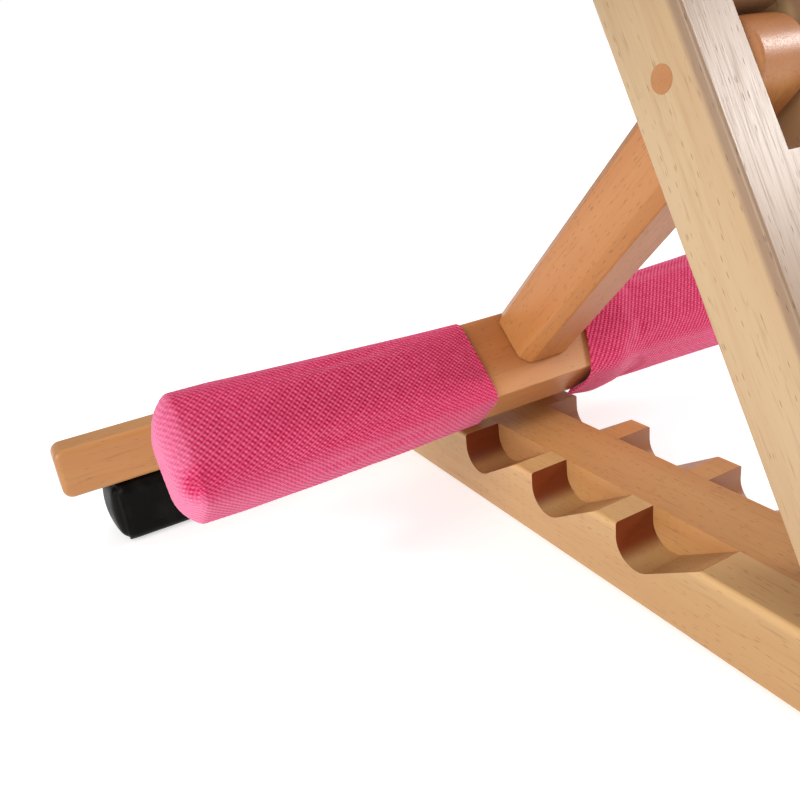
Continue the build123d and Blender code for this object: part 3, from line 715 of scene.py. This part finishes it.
def wadding(side, name, node):
    """Foam lining under the sleeve: a soft tube round the arm, closed at its outer end."""
    low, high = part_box(node)
    inner, outer = sorted((abs(low.x), abs(high.x)))
    rings, count = 31, 48
    verts = []
    for i in range(rings):
        f = i / (rings - 1)
        x = inner + (outer - 0.006 - inner) * f
        grow = 0.0012 + 0.0016 * f
        lift = 0.0013 * (x - inner) / (outer - inner) if side < 0 else 0.0
        for j, (t, u) in enumerate(rounded(BAR_T + grow, BAR_U + grow, 0.0035, count)):
            dimple = 1 + 0.0002 * math.sin(j * 2.1 + x * 700)
            verts.append(at(side * x, t * dimple - lift, u * dimple + lift))
    faces = band(rings, count, side)
    # the inner end, down to the arm
    first = len(verts)
    for t, u in rounded(BAR_T + 0.0004, BAR_U + 0.0004, 0.002, count):
        verts.append(at(side * inner, t, u))
    for j in range(count):
        quad = (first + j, first + (j + 1) % count, (j + 1) % count, j)
        faces.append(quad if side > 0 else quad[::-1])
    rim = tuple(range(first - count, first))
    faces.append(rim if side > 0 else rim[::-1])
    obj = piece(name, verts, faces, FOAM, "prop")
    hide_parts(node)


wadding(-1, "grip_wadding_left", "grip_foam_left")
wadding(1, "grip_wadding_right", "grip_foam_right")


# ------------------------------------------------------------------ rear feet

FOOT_EDGE = 0.0062                                       # radius of a cover's edges
PIPE = 0.00085                                           # radius of its piping
PIPE_POINTS = 72


def foot_cover(side, name, node):
    """Leatherette cover: a rounded box with a crowned outer end and a creased top edge."""
    low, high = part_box(node)
    mid = (low + high) / 2
    half = (high - low) / 2
    inner_half = half - Vector((FOOT_EDGE, FOOT_EDGE, FOOT_EDGE))
    work = bmesh.new()
    bmesh.ops.create_cube(work, size=2.0)
    bmesh.ops.subdivide_edges(work, edges=work.edges, cuts=21, use_grid_fill=True)
    for v in work.verts:
        p = Vector((v.co.x * half.x, v.co.y * half.y, v.co.z * half.z))
        q = Vector([max(-room, min(room, part)) for part, room in zip(p, inner_half)])
        d = p - q
        if d.length > 1e-9:
            p = q + d.normalized() * FOOT_EDGE
        outer = side * p.x / half.x
        crown = max(0.0, 1 - v.co.y ** 2) * max(0.0, 1 - v.co.z ** 2)
        if outer > 0.93:
            p.x += side * (0.0034 * crown - 0.0022)
        elif outer < -0.93:
            p.x -= side * 0.0008 * crown
        if v.co.y < -0.8:
            p.y -= 0.0003 * crown * math.sin(40 * p.x)
        if v.co.z > 0.9:
            p.z -= 0.0010 * math.exp(-((side * p.x - 0.012) / 0.006) ** 2)
        v.co = p + mid
    verts = [tuple(v.co) for v in work.verts]
    work.verts.index_update()
    faces = [[v.index for v in f.verts] for f in work.faces]
    work.free()
    obj = piece(name, verts, faces, LEATHER, "base")
    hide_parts(node)
    piping(side, f"{name}_piping", mid, half)


def piping(side, name, mid, half):
    """A thin cord sewn round a foot cover's outer end."""
    verts, faces = [], []
    x = side * (half.x - 0.0052)
    for z, y in rounded(half.z - 0.0009, half.y - 0.0009, 0.006, PIPE_POINTS):
        out = Vector((0, y, z)).normalized()
        for k in range(8):
            a = 2 * math.pi * k / 8
            centre = mid + Vector((x + PIPE * math.cos(a), y, z))
            verts.append(centre + out * PIPE * math.sin(a))
    for j in range(PIPE_POINTS):
        for k in range(8):
            a, b = j * 8 + k, j * 8 + (k + 1) % 8
            after = (j + 1) % PIPE_POINTS * 8
            faces.append((a, b, after + (k + 1) % 8, after + k))
    piece(name, verts, faces, LEATHER, "base")


foot_cover(-1, "rear_foot_cover_left", "rear_foot_pad_left")
foot_cover(1, "rear_foot_cover_right", "rear_foot_pad_right")


# ------------------------------------------------------------------ warp and cloth

cloth_low, cloth_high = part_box("woven_cloth")
cloth_mid = (cloth_low + cloth_high) / 2
CLOTH_HALF = (cloth_high.x - cloth_low.x) / 2
CLOTH_LENGTH = 0.110
WARP_PITCH = 0.007                                       # from one warp end to the next
ROLLER = 0.016                                           # radius of both rollers


def tapestry():
    """Wool weft in stepped zigzags: x and the distance up the cloth come from its attribute."""
    g = Graph("wool_tapestry", rough=0.9, Sheen_Weight=0.25)
    where = g.add("Attribute", attribute_name="weave").outputs["Vector"]
    parts = g.add("SeparateXYZ")
    g.put(parts.inputs[0], where)
    x, s = parts.outputs[0], parts.outputs[1]
    picks = g.maths("ABSOLUTE", g.maths("SINE", g.maths("MULTIPLY", s, math.pi / 0.0012)))
    shade = g.noise(g.scaled(where, (40.0, 900.0, 1.0)), detail=2.0)
    step = g.maths("PINGPONG", g.maths("ADD", x, 0.5), 0.028)
    stair = g.maths("FLOOR", g.maths("DIVIDE", step, WARP_PITCH / 2))
    edge = g.maths("SUBTRACT", s, g.maths("MULTIPLY", stair, 0.003))
    cream, rose, grey = (0.74, 0.68, 0.55, 1), (0.62, 0.09, 0.17, 1), (0.11, 0.11, 0.12, 1)
    colour = g.mix(g.maths("GREATER_THAN", edge, 0.030), cream, rose)
    colour = g.mix(g.maths("GREATER_THAN", edge, 0.052), colour, cream)
    colour = g.mix(g.maths("GREATER_THAN", edge, 0.062), colour, grey)
    colour = g.mix(g.maths("GREATER_THAN", edge, 0.068), colour, cream)
    dim = g.ramp(shade, 0.3, 0.7, 0.78, 1.0)
    # painted shade in the grooves between the weft picks, over a random tone
    dim = g.maths("MULTIPLY", dim, g.ramp(picks, 0.0, 0.7, 0.62, 1.0))
    tone = g.add("CombineColor")
    for socket in tone.inputs[:3]:
        g.put(socket, dim)
    colour = g.mix(1.0, colour, tone.outputs[0], "MULTIPLY")
    return g.finish(colour, None, g.bump(picks, 0.0004, 0.8))


WOOL = tapestry()


def place_weave(obj, where):
    """Stores each point's place on the flat cloth."""
    attribute = obj.data.attributes.new("weave", "FLOAT_VECTOR", "POINT")
    attribute.data.foreach_set("vector", np.array(where, np.float32).ravel())


def woven():
    """The finished cloth from the roller to the fell, ribbed over the warp ends."""
    columns, rows, thick = 322, 60, 0.0006
    verts, faces, where = [], [], []
    for face in (1, -1):
        for i in range(rows + 1):
            s = CLOTH_LENGTH * i / rows
            for j in range(columns + 1):
                x = -CLOTH_HALF + 2 * CLOTH_HALF * j / columns
                rib = 0.00022 * math.cos(2 * math.pi * x / WARP_PITCH + math.pi)
                fell = 0.0008 * math.sin(x * 90) * (i / rows) ** 6
                tuck = 1 - 0.012 * math.sin(math.pi * i / rows) * abs(x / CLOTH_HALF) ** 8
                p = cloth_mid + ALONG_X * (x * tuck) + UP * (s - CLOTH_LENGTH / 2 + fell)
                verts.append(p + OUT * (face * thick / 2 + face * rib))
                where.append((x, s, 0.0))
    size = (rows + 1) * (columns + 1)
    for base, flip in ((0, False), (size, True)):
        for i in range(rows):
            for j in range(columns):
                a = base + i * (columns + 1) + j
                quad = (a, a + 1, a + columns + 2, a + columns + 1)
                faces.append(quad[::-1] if flip else quad)
    for j in range(columns):
        faces.append((j + 1, j, size + j, size + j + 1))
        k = rows * (columns + 1) + j
        faces.append((k, k + 1, size + k + 1, size + k))
    for i in range(rows):
        k = i * (columns + 1)
        faces.append((k, k + columns + 1, size + k + columns + 1, size + k))
        k += columns
        faces.append((k + columns + 1, k, size + k, size + k + columns + 1))
    obj = piece("tapestry_cloth", verts, faces, WOOL, "loom_frame")
    place_weave(obj, where)
    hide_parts("woven_cloth")


woven()


def wound():
    """Cloth wound on its roller: a closed ribbed shell round it."""
    low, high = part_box("cloth_roller")
    mid = (low + high) / 2
    around = 64
    columns = int(2 * CLOTH_HALF / 0.001)
    verts, faces, where = [], [], []
    for layer in (1, 0):
        for j in range(columns + 1):
            x = -CLOTH_HALF + 2 * CLOTH_HALF * j / columns
            rib = 0.00018 * math.cos(2 * math.pi * x / WARP_PITCH + math.pi)
            r = ROLLER + 0.0001 + layer * (0.0008 + rib)
            for k in range(around):
                a = 2 * math.pi * k / around
                verts.append((mid.x + x, mid.y + r * math.cos(a), mid.z + r * math.sin(a)))
                where.append((x, a * ROLLER, 0.0))
    inner = (columns + 1) * around
    for j in range(columns):
        for k in range(around):
            a, b = j * around + k, j * around + (k + 1) % around
            faces.append((a, a + around, b + around, b))
            faces.append((inner + a, inner + b, inner + b + around, inner + a + around))
    for k in range(around):
        a, b = k, (k + 1) % around
        c, d = columns * around + a, columns * around + b
        faces.append((a, b, inner + b, inner + a))
        faces.append((d, c, inner + c, inner + d))
    obj = piece("cloth_wound_on", verts, faces, WOOL, "cloth_beam")
    place_weave(obj, where)


wound()


def warp_turns():
    """Warp wound on its roller: three turns of thread for every end."""
    low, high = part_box("warp_roller")
    mid = (low + high) / 2
    verts, faces = [], []
    ends, turns, around, thin = 46, 3, 40, 0.0006
    for end in range(ends):
        for turn in range(turns):
            x = mid.x + WARP_PITCH * (end - (ends - 1) / 2) + (turn - 1) * 2 * thin
            base = len(verts)
            for j in range(around):
                a = 2 * math.pi * j / around
                for k in range(6):
                    b = 2 * math.pi * k / 6
                    r = ROLLER + thin * (0.8 + math.sin(b))
                    y, z = mid.y + r * math.cos(a), mid.z + r * math.sin(a)
                    verts.append((x + thin * math.cos(b), y, z))
            for j in range(around):
                for k in range(6):
                    p, q = base + j * 6 + k, base + j * 6 + (k + 1) % 6
                    up = base + ((j + 1) % around) * 6
                    faces.append((p, up + k, up + (k + 1) % 6, q))
    piece("warp_wound_on", verts, faces, COTTON, "warp_beam")


warp_turns()


# ------------------------------------------------------------------ stage

def floor():
    """A white floor that glows a little, so that it keeps its shadows light."""
    size = 60.0
    verts = [(-size, -size, 0), (size, -size, 0), (size, size, 0), (-size, size, 0)]
    mesh = bpy.data.meshes.new("floor")
    mesh.from_pydata(verts, [], [(0, 1, 2, 3)])
    g = Graph("pale_floor", rough=0.7)
    g.shader.inputs["Emission Color"].default_value = (1, 1, 1, 1)
    g.shader.inputs["Emission Strength"].default_value = 0.60
    tint = g.noise(g.coords(), scale=1.5, detail=2.0)
    mesh.materials.append(g.finish(g.mix(tint, (0.62, 0.62, 0.62, 1), (0.66, 0.66, 0.66, 1))))
    obj = bpy.data.objects.new("floor", mesh)
    scene.collection.objects.link(obj)


floor()

# the sky looks white, and lights the object with less
world = bpy.data.worlds.new("studio")
scene.world = world
world.use_nodes = True
sky = world.node_tree
backdrop = sky.nodes["Background"]
backdrop.inputs[0].default_value = (1, 1, 1, 1)
backdrop.inputs[1].default_value = 1.0
glow = sky.nodes.new("ShaderNodeBackground")
glow.inputs[0].default_value = (1, 1, 1, 1)
glow.inputs[1].default_value = 0.42
seen = sky.nodes.new("ShaderNodeLightPath")
either = sky.nodes.new("ShaderNodeMixShader")
sky.links.new(seen.outputs["Is Camera Ray"], either.inputs[0])
sky.links.new(glow.outputs[0], either.inputs[1])
sky.links.new(backdrop.outputs[0], either.inputs[2])
sky.links.new(either.outputs[0], sky.nodes["World Output"].inputs[0])


def sun(name, place, strength, spread):
    """A sun that shines from place towards the middle, spread degrees wide."""
    lamp = bpy.data.lights.new(name, "SUN")
    lamp.energy = strength
    lamp.angle = math.radians(spread)
    obj = bpy.data.objects.new(name, lamp)
    obj.rotation_euler = (-Vector(place)).to_track_quat("-Z", "Y").to_euler()
    scene.collection.objects.link(obj)


sun("right", (1.0, -0.42, 0.50), 1.7, 14)
sun("left", (-1.0, -0.25, 0.45), 2.0, 40)
sun("top", (0.1, -0.1, 1.0), 0.95, 60)

camera = bpy.data.cameras.new("camera")
camera.lens = 36.0
camera.sensor_width = 36.0
camera.clip_start = 0.01
camera.clip_end = 50.0
camera_object = bpy.data.objects.new("camera", camera)
# the picture's right and up directions, and where the camera stands
right = Vector((0.86516, -0.48938, -0.10955))
above = Vector((0.27963, 0.28943, 0.91544))
stand = (-0.21413, -0.21321, 0.19734)
turn = Matrix((right, above, right.cross(above))).transposed()
camera_object.matrix_world = Matrix.Translation(stand) @ turn.to_4x4()
scene.collection.objects.link(camera_object)
scene.camera = camera_object
